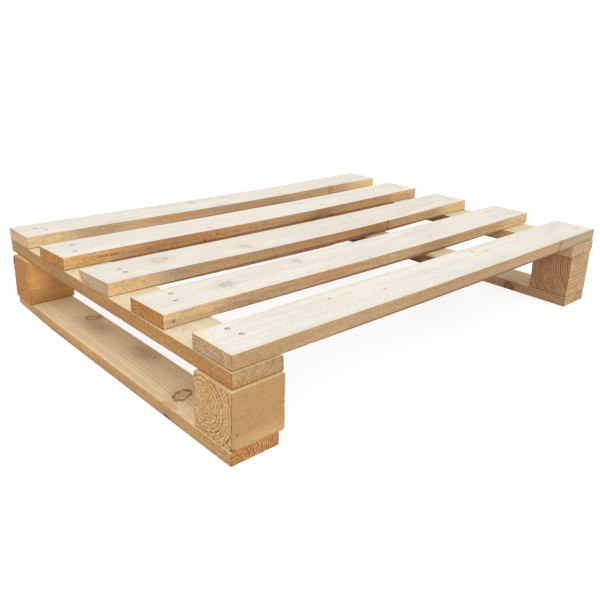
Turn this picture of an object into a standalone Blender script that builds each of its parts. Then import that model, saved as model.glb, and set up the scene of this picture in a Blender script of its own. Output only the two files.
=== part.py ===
"""Small wooden block pallet for fork trucks: five deck boards nailed across three cross boards, which
stand on four corner blocks and two bottom boards.

+X runs along the deck boards, +Y along the cross boards and +Z up. The origin lies on the floor under the
middle of the pallet's outline. All lengths are in metres.
"""

import math

import bmesh
import bpy
from mathutils import Vector

MM = 0.001

# Driving dimensions.
DECK_LENGTH = 0.803
DECK_WIDTH = 0.606
HEIGHT = 0.129
DECK_THICKNESS = 0.0193
CROSS_THICKNESS = 0.0197
BOTTOM_THICKNESS = 0.017
BOARD_WIDTH = 0.074
BLOCK_LENGTH = 0.073
BLOCK_WIDTH = 0.070
BOTTOM_WIDTH = 0.067
JOINT_GAP = 0.0003
ARRIS = 0.0008

# The levels of the four layers, from the top down.
DECK_BASE = HEIGHT - DECK_THICKNESS
CROSS_TOP = DECK_BASE - JOINT_GAP
CROSS_BASE = CROSS_TOP - CROSS_THICKNESS
BLOCK_TOP = CROSS_BASE - JOINT_GAP
BLOCK_BASE = BOTTOM_THICKNESS + JOINT_GAP
BLOCK_HEIGHT = BLOCK_TOP - BLOCK_BASE

# The deck boards share the width evenly. The frame's middle is half the overhang of the feet away from
# the middle of the deck.
DECK_SHIFT = Vector((0.001, 0.004, 0.0))
BOARD_PITCH = (DECK_WIDTH - BOARD_WIDTH) / 4
END_CROSS_OFFSET = 0.363
MIDDLE_CROSS_OFFSET = 0.121

# The boards were cut and nailed by hand. Each line gives, in millimetres, how far a piece lies from its
# even place along X and Y, and how much longer and wider it is than its nominal size. The middle cross
# board is a thinner and shorter one, whose ends stop under the outer deck boards.
DECK_BOARDS = {
    "deck_board_front": (0.0, 0.0, -2.0, -1.0),
    "deck_board_front_inner": (3.5, 3.0, 2.5, 0.0),
    "deck_board_middle": (-2.5, 5.0, -6.0, 1.0),
    "deck_board_rear_inner": (-1.0, 5.0, -2.0, 1.0),
    "deck_board_rear": (2.0, 0.5, 6.0, -3.0),
}
CROSS_BOARDS = {
    "cross_board_left": (-END_CROSS_OFFSET, -3.0, -1.5, 0.0, -2.0, 0.0),
    "cross_board_middle": (MIDDLE_CROSS_OFFSET, -1.0, -0.5, -75.0, -14.0, -4.7),
    "cross_board_right": (END_CROSS_OFFSET, -2.0, -2.0, 0.0, -1.0, 0.0),
}
BLOCKS = {
    "block_front_left": (-1, -1, -3.0, -3.0, 2.0, 0.0),
    "block_front_right": (1, -1, -5.5, 1.5, -6.0, 1.0),
    "block_rear_left": (-1, 1, -5.25, -7.75, 0.5, -10.5),
    "block_rear_right": (1, 1, -4.0, 0.0, -3.0, 1.0),
}
BOTTOM_BOARDS = {
    "bottom_board_left": (-1, -7.05, -3.75, -1.5, 2.5),
    "bottom_board_right": (1, -7.0, -0.5, -2.5, -1.0),
}
BLOCK_SPACING_X = 2 * 0.3655
BLOCK_SPACING_Y = 2 * 0.268

# Round wire nails. Each head sits a little below the wood, in a hole with clearance all round.
NAIL_SIDES = 8
NAIL_HEAD_RADIUS = 0.0032
NAIL_HEAD_THICKNESS = 0.0012
NAIL_SHANK_RADIUS = 0.0014
NAIL_POINT_LENGTH = 0.004
NAIL_SINK = 0.0003
NAIL_CLEARANCE = 0.0003
CUTTER_RISE = 0.002
LONG_NAIL = 0.070
SHORT_NAIL = 0.032
BOTTOM_NAIL = 0.050

# Where the two nails of each crossing stand, in millimetres from the middle of the crossing.
LEFT_NAILS = {
    "deck_board_front": ((3.0, 21.0), (7.0, 0.0)),
    "deck_board_front_inner": ((12.0, 17.0), (4.0, -7.0)),
    "deck_board_middle": ((7.0, 4.0), (7.0, -11.0)),
    "deck_board_rear_inner": ((4.0, 15.0), (-6.0, -16.0)),
    "deck_board_rear": ((-5.0, 6.0), (6.0, -9.0)),
}
EVEN_NAILS = ((-11.0, 16.0), (12.0, -15.0))
SHORT_CROSS_NAILS = {
    "deck_board_front": ((-11.0, 20.0), (12.0, 9.0)),
    "deck_board_rear": ((-11.0, -9.0), (12.0, -20.0)),
}
BLOCK_NAILS = ((-20.0, -17.0), (20.0, -15.0), (1.0, 19.0))

WOOD_ROUGHNESS = 0.72
WOOD_COLOURS = {
    "deck": (0.83, 0.70, 0.50),
    "cross": (0.76, 0.58, 0.35),
    "block": (0.74, 0.53, 0.30),
    "bottom": (0.78, 0.58, 0.34),
}
TONE_STEP = 0.03
STEEL_COLOUR = (0.42, 0.40, 0.38)
STEEL_ROUGHNESS = 0.45


def clear_scene():
    for thing in list(bpy.data.objects):
        bpy.data.objects.remove(thing, do_unlink=True)


def make_material(name, colour, roughness, metallic):
    material = bpy.data.materials.new(name)
    material.use_nodes = True
    shader = material.node_tree.nodes["Principled BSDF"]
    shader.inputs["Base Color"].default_value = (*colour, 1.0)
    shader.inputs["Roughness"].default_value = roughness
    shader.inputs["Metallic"].default_value = metallic
    material.diffuse_color = (*colour, 1.0)
    return material


def wood_material(family, number):
    """Neighbouring boards come from different logs, so every second one is a little darker."""
    tone = 1.0 - TONE_STEP * (number % 3)
    colour = [channel * tone for channel in WOOD_COLOURS[family]]
    return make_material(f"{family}_wood_{number + 1}", colour, WOOD_ROUGHNESS, 0.0)


def place(name, mesh, location, parent, material=None):
    thing = bpy.data.objects.new(name, mesh)
    bpy.context.scene.collection.objects.link(thing)
    thing.location = location
    thing.parent = parent
    if material:
        mesh.materials.append(material)
    return thing


def timber(name, size, centre, material, parent):
    """A sawn piece of wood with its arrises taken off, around its own centre."""
    mesh = bpy.data.meshes.new(name)
    shape = bmesh.new()
    bmesh.ops.create_cube(shape, size=1.0)
    bmesh.ops.scale(shape, vec=size, verts=shape.verts)
    bmesh.ops.bevel(shape, geom=shape.edges[:], offset=ARRIS, segments=1, affect="EDGES")
    shape.to_mesh(mesh)
    shape.free()
    return place(name, mesh, centre, parent, material)


def make_deck_boards(parent):
    boards = {}
    for number, (name, (along, across, longer, wider)) in enumerate(DECK_BOARDS.items()):
        size = (DECK_LENGTH + longer * MM, BOARD_WIDTH + wider * MM, DECK_THICKNESS)
        centre = DECK_SHIFT + Vector((along * MM, (number - 2) * BOARD_PITCH + across * MM, 0.0))
        centre.z = DECK_BASE + DECK_THICKNESS / 2
        boards[name] = timber(name, size, centre, wood_material("deck", number), parent)
    return boards


def make_cross_boards(parent):
    boards = {}
    for number, (name, line) in enumerate(CROSS_BOARDS.items()):
        offset, along, across, longer, wider, thicker = line
        thickness = CROSS_THICKNESS + thicker * MM
        size = (BOARD_WIDTH + wider * MM, DECK_WIDTH + longer * MM, thickness)
        centre = DECK_SHIFT + Vector((offset + along * MM, across * MM, 0.0))
        centre.z = CROSS_TOP - thickness / 2
        boards[name] = timber(name, size, centre, wood_material("cross", number), parent)
    return boards


def make_blocks(parent):
    blocks = {}
    for number, (name, (side, end, along, across, longer, wider)) in enumerate(BLOCKS.items()):
        size = (BLOCK_LENGTH + longer * MM, BLOCK_WIDTH + wider * MM, BLOCK_HEIGHT)
        centre = Vector((
            side * BLOCK_SPACING_X / 2 + along * MM,
            end * BLOCK_SPACING_Y / 2 + across * MM,
            BLOCK_BASE + BLOCK_HEIGHT / 2,
        ))
        blocks[name] = timber(name, size, centre, wood_material("block", number), parent)
    return blocks


def make_bottom_boards(parent):
    boards = {}
    for number, (name, (side, along, across, longer, wider)) in enumerate(BOTTOM_BOARDS.items()):
        size = (BOTTOM_WIDTH + wider * MM, DECK_WIDTH + longer * MM, BOTTOM_THICKNESS)
        centre = Vector((
            side * BLOCK_SPACING_X / 2 + along * MM,
            across * MM,
            BOTTOM_THICKNESS / 2,
        ))
        boards[name] = timber(name, size, centre, wood_material("bottom", number), parent)
    return boards


def add_turned_body(shape, profile, foot, down):
    """Turns a profile of (radius, depth) about an upright axis. Its first and last points lie on the axis."""
    top = shape.verts.new(foot)
    rings = []
    for radius, depth in profile[1:-1]:
        ring = []
        for side in range(NAIL_SIDES):
            angle = 2 * math.pi * side / NAIL_SIDES
            offset = Vector((radius * math.cos(angle), radius * math.sin(angle), down * depth))
            ring.append(shape.verts.new(foot + offset))
        rings.append(ring)
    bottom = shape.verts.new(foot + Vector((0.0, 0.0, down * profile[-1][1])))
    top.co.z += down * profile[0][1]
    for side in range(NAIL_SIDES):
        after = (side + 1) % NAIL_SIDES
        shape.faces.new((top, rings[0][side], rings[0][after]))
        for upper, lower in zip(rings, rings[1:]):
            shape.faces.new((upper[side], lower[side], lower[after], upper[after]))
        shape.faces.new((bottom, rings[-1][after], rings[-1][side]))


def nail_profile(length):
    return (
        (0.0, 0.0),
        (NAIL_HEAD_RADIUS, 0.0),
        (NAIL_HEAD_RADIUS, NAIL_HEAD_THICKNESS),
        (NAIL_SHANK_RADIUS, NAIL_HEAD_THICKNESS),
        (NAIL_SHANK_RADIUS, length - NAIL_POINT_LENGTH),
        (0.0, length),
    )


def hole_profile(length):
    """The nail's outline with clearance round it, open above the wood."""
    head_radius = NAIL_HEAD_RADIUS + NAIL_CLEARANCE
    shank_radius = NAIL_SHANK_RADIUS + NAIL_CLEARANCE
    head_depth = NAIL_HEAD_THICKNESS + NAIL_CLEARANCE
    return (
        (0.0, -CUTTER_RISE),
        (head_radius, -CUTTER_RISE),
        (head_radius, head_depth),
        (shank_radius, head_depth),
        (shank_radius, length - NAIL_POINT_LENGTH + NAIL_CLEARANCE),
        (0.0, length + 2 * NAIL_CLEARANCE),
    )


def nail_mesh(name, length, steel):
    mesh = bpy.data.meshes.new(name)
    shape = bmesh.new()
    add_turned_body(shape, nail_profile(length), Vector(), -1)
    bmesh.ops.recalc_face_normals(shape, faces=shape.faces)
    shape.to_mesh(mesh)
    shape.free()
    mesh.materials.append(steel)
    mesh.shade_smooth()
    mesh.set_sharp_from_angle(angle=math.radians(35))
    return mesh


def nail_offsets(deck_name, cross_name):
    if cross_name.endswith("left"):
        return LEFT_NAILS[deck_name]
    if cross_name.endswith("middle"):
        return SHORT_CROSS_NAILS.get(deck_name, EVEN_NAILS)
    return EVEN_NAILS


def deck_nails(boards, cross_boards):
    """(name, place of the head, length) of every nail driven down through the deck."""
    nails = []
    for deck_name, deck in boards.items():
        over_block = deck_name in ("deck_board_front", "deck_board_rear")
        for cross_name, cross in cross_boards.items():
            offsets = nail_offsets(deck_name, cross_name)
            length = LONG_NAIL if over_block and not cross_name.endswith("middle") else SHORT_NAIL
            for letter, (dx, dy) in zip("ab", offsets):
                name = f"nail_{deck_name[11:]}_{cross_name[12:]}_{letter}"
                head = (cross.location.x + dx * MM, deck.location.y + dy * MM, HEIGHT - NAIL_SINK)
                nails.append((name, Vector(head), length))
    return nails


def bottom_nails(blocks):
    """(name, place of the head, length) of every nail driven up through a bottom board."""
    nails = []
    for block_name, block in blocks.items():
        for letter, (dx, dy) in zip("abc", BLOCK_NAILS):
            name = f"nail_under_{block_name[6:]}_{letter}"
            head = (block.location.x + dx * MM, block.location.y + dy * MM, NAIL_SINK)
            nails.append((name, Vector(head), BOTTOM_NAIL))
    return nails


def make_nails(nails, upside_down, meshes, parent):
    for name, head, length in nails:
        nail = place(name, meshes[length], head, parent)
        nail.rotation_euler.x = math.pi if upside_down else 0.0


def make_hole_cutter(driven_down, driven_up, parent):
    """One guide with the outline of every nail hole, which all the timber is cut by."""
    mesh = bpy.data.meshes.new("nail_hole_cutter")
    shape = bmesh.new()
    for _, head, length in driven_down:
        add_turned_body(shape, hole_profile(length), head, -1)
    for _, head, length in driven_up:
        add_turned_body(shape, hole_profile(length), head, 1)
    bmesh.ops.recalc_face_normals(shape, faces=shape.faces)
    shape.to_mesh(mesh)
    shape.free()
    cutter = place("nail_hole_cutter", mesh, Vector(), parent)
    cutter.hide_render = True
    cutter.display_type = "WIRE"
    return cutter


def drill(pieces, cutter):
    for piece in pieces:
        holes = piece.modifiers.new("nail_holes", "BOOLEAN")
        holes.operation = "DIFFERENCE"
        holes.solver = "EXACT"
        holes.object = cutter


def main():
    clear_scene()
    pallet = bpy.data.objects.new("pallet", None)
    bpy.context.scene.collection.objects.link(pallet)

    deck = make_deck_boards(pallet)
    cross = make_cross_boards(pallet)
    blocks = make_blocks(pallet)
    bottom = make_bottom_boards(pallet)

    steel = make_material("nail_steel", STEEL_COLOUR, STEEL_ROUGHNESS, 1.0)
    meshes = {
        length: nail_mesh(f"nail_{round(length / MM)}_mm", length, steel)
        for length in (LONG_NAIL, SHORT_NAIL, BOTTOM_NAIL)
    }
    driven_down = deck_nails(deck, cross)
    driven_up = bottom_nails(blocks)
    make_nails(driven_down, False, meshes, pallet)
    make_nails(driven_up, True, meshes, pallet)
    cutter = make_hole_cutter(driven_down, driven_up, pallet)
    drill([*deck.values(), *cross.values(), *blocks.values(), *bottom.values()], cutter)


main()
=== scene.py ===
"""Looks of a small wooden block pallet: sawn spruce boards and blocks, held by wire nails.

Each piece of timber is a fine mesh with eased arrises, chips, wane and nail dents, in the box of its
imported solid. The wood is one solid pattern of growth rings, fibres and knots, set differently on each
piece, so that a board's faces and its end grain belong together.
"""

import math

import bpy
import numpy as np
from mathutils import Matrix, Vector


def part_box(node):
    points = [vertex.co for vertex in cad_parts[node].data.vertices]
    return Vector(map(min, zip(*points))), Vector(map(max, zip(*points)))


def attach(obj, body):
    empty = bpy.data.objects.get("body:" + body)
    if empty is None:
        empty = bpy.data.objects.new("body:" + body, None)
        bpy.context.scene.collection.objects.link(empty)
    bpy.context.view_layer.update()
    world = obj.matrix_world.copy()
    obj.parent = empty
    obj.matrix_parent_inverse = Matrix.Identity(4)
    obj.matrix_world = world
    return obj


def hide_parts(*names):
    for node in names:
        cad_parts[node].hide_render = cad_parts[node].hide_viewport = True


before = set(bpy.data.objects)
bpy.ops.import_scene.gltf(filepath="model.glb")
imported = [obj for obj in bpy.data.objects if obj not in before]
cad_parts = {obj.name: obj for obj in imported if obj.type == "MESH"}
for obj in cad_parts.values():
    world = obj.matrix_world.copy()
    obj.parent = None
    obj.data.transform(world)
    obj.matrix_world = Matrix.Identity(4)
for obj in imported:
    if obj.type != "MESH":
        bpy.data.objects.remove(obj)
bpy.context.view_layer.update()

MM = 0.001
WHITE = (1.0, 1.0, 1.0, 1.0)

# ----------------------------------------
# Camera, light and floor

CAMERA_PLACE = (-0.7767, -0.8086, 0.4448)
CAMERA_TURN = -42.67
CAMERA_DOWN = 20.53
CAMERA_ROLL = 1.68
CAMERA_LENS = 40.82
CAMERA_SHIFT_Y = -0.0242
WORLD_STRENGTH = 1.0
KEY_PLACE = (-1.7, -1.9, 2.3)
KEY_AIM = (0.0, 0.0, 0.05)
KEY_SIZE = 2.2
KEY_POWER = 32.0
KEY_COLOUR = (1.0, 0.98, 0.95)
FLOOR_HALF = 12.0
FLOOR_COLOUR = (0.25, 0.25, 0.25, 1.0)
FLOOR_GLOW = 0.80


def add_to_scene(name, data):
    thing = bpy.data.objects.new(name, data)
    bpy.context.scene.collection.objects.link(thing)
    return thing


def place_camera():
    """Looks at the pallet from the front left, a little above it."""
    camera = add_to_scene("camera", bpy.data.cameras.new("camera"))
    turn = Matrix.Rotation(math.radians(CAMERA_TURN), 4, "Z")
    tilt = Matrix.Rotation(math.radians(90.0 - CAMERA_DOWN), 4, "X")
    roll = Matrix.Rotation(math.radians(CAMERA_ROLL), 4, "Z")
    camera.matrix_world = Matrix.Translation(CAMERA_PLACE) @ turn @ tilt @ roll
    camera.data.sensor_width = 36.0
    camera.data.lens = CAMERA_LENS
    camera.data.shift_y = CAMERA_SHIFT_Y
    camera.data.clip_end = 50.0
    bpy.context.scene.camera = camera


def light_studio():
    """White from all round, and one large soft lamp at the front left."""
    world = bpy.data.worlds.new("studio")
    bpy.context.scene.world = world
    world.use_nodes = True
    backdrop = world.node_tree.nodes["Background"]
    backdrop.inputs["Color"].default_value = WHITE
    backdrop.inputs["Strength"].default_value = WORLD_STRENGTH
    lamp = bpy.data.lights.new("key", "AREA")
    lamp.shape = "DISK"
    lamp.size = KEY_SIZE
    lamp.energy = KEY_POWER
    lamp.color = KEY_COLOUR
    key = add_to_scene("key", lamp)
    key.location = KEY_PLACE
    towards = Vector(KEY_AIM) - Vector(KEY_PLACE)
    key.rotation_euler = towards.to_track_quat("-Z", "Y").to_euler()


def lay_floor():
    """A pale sweep that gives back a little light of its own, like a lit studio table."""
    mesh = bpy.data.meshes.new("floor")
    corners = ((-1, -1), (1, -1), (1, 1), (-1, 1))
    mesh.from_pydata([(x * FLOOR_HALF, y * FLOOR_HALF, 0.0) for x, y in corners], [], [(0, 1, 2, 3)])
    floor = add_to_scene("floor", mesh)
    material = bpy.data.materials.new("floor_white")
    material.use_nodes = True
    shader = material.node_tree.nodes["Principled BSDF"]
    shader.inputs["Base Color"].default_value = FLOOR_COLOUR
    shader.inputs["Roughness"].default_value = 0.9
    shader.inputs["Emission Color"].default_value = WHITE
    shader.inputs["Emission Strength"].default_value = FLOOR_GLOW
    mesh.materials.append(material)


# ----------------------------------------
# Node trees

# What the wood's colour is multiplied by, where something marks it, and where light or shade is painted
# on it.
# Painted bounce light: the sides near a board's ends are brightened as if by light thrown back from the
# cross boards below.
END_GLOW = (1.50, 1.70, 1.75, 1.0)
# Painted glow: the top is warmer along its edges.
ARRIS_GLOW = (1.02, 0.92, 0.74, 1.0)
LATE_WOOD = (0.54, 0.36, 0.21, 1.0)
# Torn end grain: darker grooves and paler ridges, partly the wood's own colour and partly painted shade
# in the grooves and painted highlight on the ridges.
GROOVE = (0.64, 0.52, 0.38, 1.0)
RIDGE = (1.26, 1.34, 1.50, 1.0)
KNOT_HAZE = (0.87, 0.75, 0.66, 1.0)
KNOT_HEART = (0.56, 0.33, 0.26, 1.0)
KNOT_RIM = (0.34, 0.17, 0.12, 1.0)
# Painted contact shade along the lower arrises and the corners.
DIRT = (0.36, 0.25, 0.18, 1.0)
BARK_COLOUR = (0.085, 0.045, 0.025, 1.0)

# Inputs of the wood that each piece's looks give under the same name.
SHARES = ("Side Rings", "Top Rings", "End Rings", "Speckle", "Warm Ends", "Top Tint")

KNOT_TURNS = 16.0
KNOT_FALL = -0.11
RING_WANDER = 8.0 * MM
RING_TEAR = 6.0 * MM

# The wood's noises: features to a metre along, across and up, detail and roughness.
PATTERNS = {
    "fibre": ((16.0, 480.0, 480.0), 3.0, 0.6),
    "streak": ((2.5, 70.0, 70.0), 2.0, 0.5),
    "mottle": ((240.0, 330.0, 330.0), 4.0, 0.75),
    "cloud": ((9.0, 30.0, 30.0), 3.0, 0.6),
    "pits": ((300.0, 430.0, 430.0), 3.0, 0.7),
}
TONE_SWAY = {"fibre": 0.45, "streak": 0.50, "mottle": 1.60, "cloud": 0.55}


class Tree:
    """Short ways to add shader nodes. Values are numbers, colours, vectors or other nodes' outputs."""

    def __init__(self, tree):
        self.tree = tree

    def add(self, kind, values, output=0, **settings):
        node = self.tree.nodes.new(kind)
        for name, value in settings.items():
            setattr(node, name, value)
        self.feed(node, values)
        return node.outputs[output]

    def feed(self, node, values):
        """Links each input to its value, or sets it."""
        for key, value in values.items():
            if isinstance(value, bpy.types.NodeSocket):
                self.tree.links.new(value, node.inputs[key])
            else:
                node.inputs[key].default_value = value

    def math(self, operation, *values):
        return self.add("ShaderNodeMath", dict(enumerate(values)), operation=operation)

    def vector(self, operation, *values, output=0):
        return self.add("ShaderNodeVectorMath", dict(enumerate(values)), output, operation=operation)

    def scaled(self, value, factors):
        return self.vector("MULTIPLY", value, factors)

    def between(self, value, low, high, to_low=0.0, to_high=1.0):
        """A smooth step from to_low at low to to_high at high."""
        values = {0: value, 1: low, 2: high, 3: to_low, 4: to_high}
        return self.add("ShaderNodeMapRange", values, interpolation_type="SMOOTHSTEP")

    def noise(self, position, scales, detail=2.0, roughness=0.5, output=0):
        """Noise with this many features to a metre along each axis. Output 1 is a vector."""
        values = {"Vector": self.scaled(position, scales), "Scale": 1.0}
        values.update({"Detail": detail, "Roughness": roughness})
        return self.add("ShaderNodeTexNoise", values, output)

    def mix(self, share, first, second, blend="MIX"):
        values = {0: share, 6: first, 7: second}
        return self.add("ShaderNodeMix", values, 2, data_type="RGBA", blend_type=blend)

    def tinted(self, share, colour, tint):
        """The colour, multiplied by the tint as far as the share says."""
        return self.mix(share, colour, self.mix(1.0, colour, tint, "MULTIPLY"))

    def product(self, *values):
        result = values[0]
        for value in values[1:]:
            result = self.math("MULTIPLY", result, value)
        return result

    def less(self, value):
        """One minus the value."""
        return self.math("SUBTRACT", 1.0, value)

    def times(self, value, factor):
        """A vector times one number."""
        return self.add("ShaderNodeVectorMath", {0: value, 3: factor}, operation="SCALE")

    def sway(self, value, amount, share=1.0):
        """One, and up to half of the amount more or less as the value goes from zero to one."""
        swing = self.product(self.math("MULTIPLY_ADD", value, amount, -amount / 2), share)
        return self.math("ADD", swing, 1.0)

    def use(self, group, values):
        """Adds a node group and returns its outputs."""
        node = self.tree.nodes.new("ShaderNodeGroup")
        node.node_tree = group
        self.feed(node, values)
        return node.outputs

    def split(self, value):
        node = self.tree.nodes.new("ShaderNodeSeparateXYZ")
        self.tree.links.new(value, node.inputs[0])
        return node.outputs

    def join(self, x, y, z):
        return self.add("ShaderNodeCombineXYZ", {0: x, 1: y, 2: z})


def new_material(name):
    """A material, its tree, its shader and its texture coordinates."""
    material = bpy.data.materials.new(name)
    material.use_nodes = True
    nodes = material.node_tree.nodes
    coordinates = nodes.new("ShaderNodeTexCoord").outputs
    return material, Tree(material.node_tree), nodes["Principled BSDF"], coordinates


def new_group(name, takes, gives):
    """An empty node group, its inputs and a function that ends it with its outputs."""
    group = bpy.data.node_groups.new(name, "ShaderNodeTree")
    for sockets, in_out in ((takes, "INPUT"), (gives, "OUTPUT")):
        for kind, labels in sockets.items():
            for label in labels:
                group.interface.new_socket(label, in_out=in_out, socket_type="NodeSocket" + kind)
    inputs = group.nodes.new("NodeGroupInput").outputs
    end = group.nodes.new("NodeGroupOutput")

    def give(**values):
        for label, value in values.items():
            group.links.new(value, end.inputs[label])

    return group, Tree(group), inputs, give


def knot_group():
    """A branch that grew through the wood and pushed its grain aside."""
    looks = ["Heart", "Rim", "Haze"]
    numbers = [*looks, "Radius", "Reach", "Push", *(look + " Strength" for look in looks)]
    takes = {"Vector": ["Position", "Grain", "Centre", "Axis"], "Float": numbers}
    group, tree, given, give = new_group("knot", takes, {"Vector": ["Grain"], "Float": looks})
    away = tree.vector("SUBTRACT", given["Position"], given["Centre"])
    along = tree.vector("DOT_PRODUCT", away, given["Axis"], output=1)
    beside = tree.vector("SUBTRACT", away, tree.times(given["Axis"], along))
    reach = tree.math("DIVIDE", tree.math("ABSOLUTE", along), given["Reach"])
    near = tree.between(reach, 0.75, 1.0, 1.0, 0.0)

    # The distance from the branch's middle, with its radius as one, and uneven.
    uneven = tree.noise(given["Position"], (140.0, 200.0, 200.0), 3.0, 0.6)
    distance = tree.math("DIVIDE", tree.vector("LENGTH", beside, output=1), given["Radius"])
    distance = tree.math("ADD", distance, tree.math("MULTIPLY_ADD", uneven, 1.5, -0.75))
    turns = tree.math("SINE", tree.product(distance, KNOT_TURNS))
    turns = tree.math("MULTIPLY_ADD", turns, 0.5, 0.5)
    off_rim = tree.math("ABSOLUTE", tree.math("SUBTRACT", distance, 1.0))
    shown = {
        "Heart": tree.product(tree.between(distance, 0.6, 1.5, 1.0, 0.0), turns),
        "Rim": tree.between(off_rim, 0.0, 0.3, 1.0, 0.0),
        "Haze": tree.between(distance, 0.9, 3.4, 1.0, 0.0),
    }
    for look, value in shown.items():
        value = tree.product(value, near, given[look + " Strength"])
        shown[look] = tree.math("MAXIMUM", given[look], value)
    fall = tree.math("EXPONENT", tree.product(distance, distance, KNOT_FALL))
    push = tree.product(fall, near, given["Push"])
    give(Grain=tree.vector("SUBTRACT", given["Grain"], tree.times(beside, push)), **shown)
    return group


def stain_group():
    """A soft patch where the wood is tinted, used both for stains in the wood and for painted light and
    shade.
    """
    takes = {"Vector": ["Position", "Centre", "Size"], "Color": ["Tint", "Colour"]}
    group, tree, given, give = new_group("stain", takes, {"Color": ["Tint"]})
    away = tree.vector("SUBTRACT", given["Position"], given["Centre"])
    distance = tree.vector("LENGTH", tree.vector("DIVIDE", away, given["Size"]), output=1)
    uneven = tree.noise(given["Position"], (60.0, 160.0, 160.0), 3.0, 0.6)
    distance = tree.math("ADD", distance, tree.math("MULTIPLY_ADD", uneven, 0.6, -0.3))
    share = tree.between(distance, 0.15, 1.1, 1.0, 0.0)
    give(Tint=tree.tinted(share, given["Tint"], given["Colour"]))
    return group


def late_wood(tree, given, position, end):
    """How dark the growth ring is at each point: distance from a pith that wanders along the piece."""
    centre = (0.5, 0.5, 0.5)
    wander = tree.noise(position, (3.0, 20.0, 20.0), output=1)
    wander = tree.scaled(tree.vector("SUBTRACT", wander, centre), (0.0, RING_WANDER, RING_WANDER))
    torn = tree.noise(position, (40.0, 170.0, 170.0), output=1)
    torn = tree.scaled(tree.vector("SUBTRACT", torn, centre), (0.0, RING_TEAR, RING_TEAR))
    torn = tree.times(torn, tree.product(end, given["End Roughness"]))
    grain = tree.vector("ADD", tree.vector("ADD", given["Grain"], wander), torn)
    lean = tree.times(given["Tilt"], tree.split(grain)[0])
    from_pith = tree.vector("SUBTRACT", tree.vector("SUBTRACT", grain, given["Pith"]), lean)
    radius = tree.vector("LENGTH", tree.scaled(from_pith, (0.0, 1.0, 1.0)), output=1)

    count = tree.math("DIVIDE", radius, given["Ring Width"])
    year = tree.join(tree.product(count, 0.31), given["Seed"], 0.0)
    uneven = tree.noise(year, (1.0, 1.0, 1.0), 1.0)
    count = tree.math("MULTIPLY_ADD", uneven, 1.6, count)
    share = tree.math("FRACT", count)
    year = tree.join(tree.math("FLOOR", count), given["Seed"], 0.0)
    strength = tree.add("ShaderNodeTexWhiteNoise", {"Vector": year}, noise_dimensions="2D")
    strength = tree.math("MULTIPLY_ADD", strength, 0.6, 0.4)
    darkening = tree.between(share, 0.25, 0.85)
    ending = tree.between(share, 0.9, 1.0, 1.0, 0.0)
    return tree.product(darkening, ending, strength)


def sawn_colour(tree, given, edge, top, end):
    """The colour of each face. The top is paler, partly the wood's own colour and partly painted
    highlight; painted bounce light brightens the sides near the ends, and a painted glow warms the top
    along its edges.
    """
    near_end = tree.between(edge[0], 0.045, 0.120, 1.0, 0.0)
    side = tree.tinted(tree.product(near_end, given["Warm Ends"]), given["Side Colour"], END_GLOW)
    arris = tree.between(tree.math("MINIMUM", edge[0], edge[1]), 0.001, 0.007, 1.0, 0.0)
    upper = tree.tinted(tree.product(arris, 0.5), given["Top Colour"], ARRIS_GLOW)
    return tree.mix(end, tree.mix(top, side, upper), given["End Colour"])


def ring_share(tree, given, top, end):
    """How strongly the rings show on the face that this point is on."""
    top_less_side = tree.math("SUBTRACT", given["Top Rings"], given["Side Rings"])
    rings = tree.math("MULTIPLY_ADD", top, top_less_side, given["Side Rings"])
    return tree.math("MULTIPLY_ADD", end, tree.math("SUBTRACT", given["End Rings"], rings), rings)


def mottled(tree, given, colour, position, patterns, top, torn):
    """Adds fibres, clouds, torn end grain and slow changes of hue, fewer on the top, whose paleness is
    partly painted highlight. The torn end grain's grooves and ridges are partly darker and paler wood
    and partly painted shade and painted highlight.
    """
    # Marks show less on the top, where its pale colour is partly painted highlight.
    bare = tree.product(tree.math("MULTIPLY_ADD", top, -0.60, 1.0), given["Speckle"])
    tone = tree.product(*(tree.sway(patterns[name], sway, bare) for name, sway in TONE_SWAY.items()))
    colour = tree.mix(1.0, colour, tree.join(tone, tone, tone), "MULTIPLY")
    grooved = tree.mix(1.0, colour, GROOVE, "MULTIPLY")
    ridged = tree.mix(1.0, colour, RIDGE, "MULTIPLY")
    torn_end = tree.mix(tree.between(patterns["pits"], 0.34, 0.66), grooved, ridged)
    colour = tree.mix(torn, colour, torn_end)
    hue = tree.noise(position, (6.0, 18.0, 18.0), 2.0, 0.6, output=1)
    warm = tree.product(tree.math("SUBTRACT", tree.split(hue)[0], 0.5), bare)
    red = tree.math("MULTIPLY_ADD", warm, 0.24, 1.0)
    blue = tree.math("MULTIPLY_ADD", warm, -0.34, 1.0)
    return tree.mix(1.0, colour, tree.join(red, 1.0, blue), "MULTIPLY")


def dirt_share(tree, given, edge, cloud, top, end):
    """How much painted shade darkens the sides along the lower arris and the corners."""
    from_below = tree.split(tree.vector("ADD", given["Half"], given["Position"]))[2]
    low_line = tree.between(from_below, 0.0003, 0.0016, 1.0, 0.0)
    beside = tree.math("ADD", tree.product(end, edge[1]), tree.product(tree.less(end), edge[0]))
    corner_line = tree.between(beside, 0.0002, 0.0012, 1.0, 0.0)
    line = tree.math("MAXIMUM", low_line, tree.product(corner_line, 0.8))
    return tree.product(line, tree.less(top), tree.between(cloud, 0.25, 0.5, 0.25, 0.75))


def marked(tree, given, colour, top):
    """Adds the piece's stains, its patches of painted light and shade, and its knots."""
    untinted = tree.product(top, tree.less(given["Top Tint"]))
    colour = tree.mix(1.0, colour, tree.mix(untinted, given["Tint"], WHITE), "MULTIPLY")
    for look, tint in (("Haze", KNOT_HAZE), ("Heart", KNOT_HEART), ("Rim", KNOT_RIM)):
        colour = tree.tinted(given[look], colour, tint)
    return colour


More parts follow.
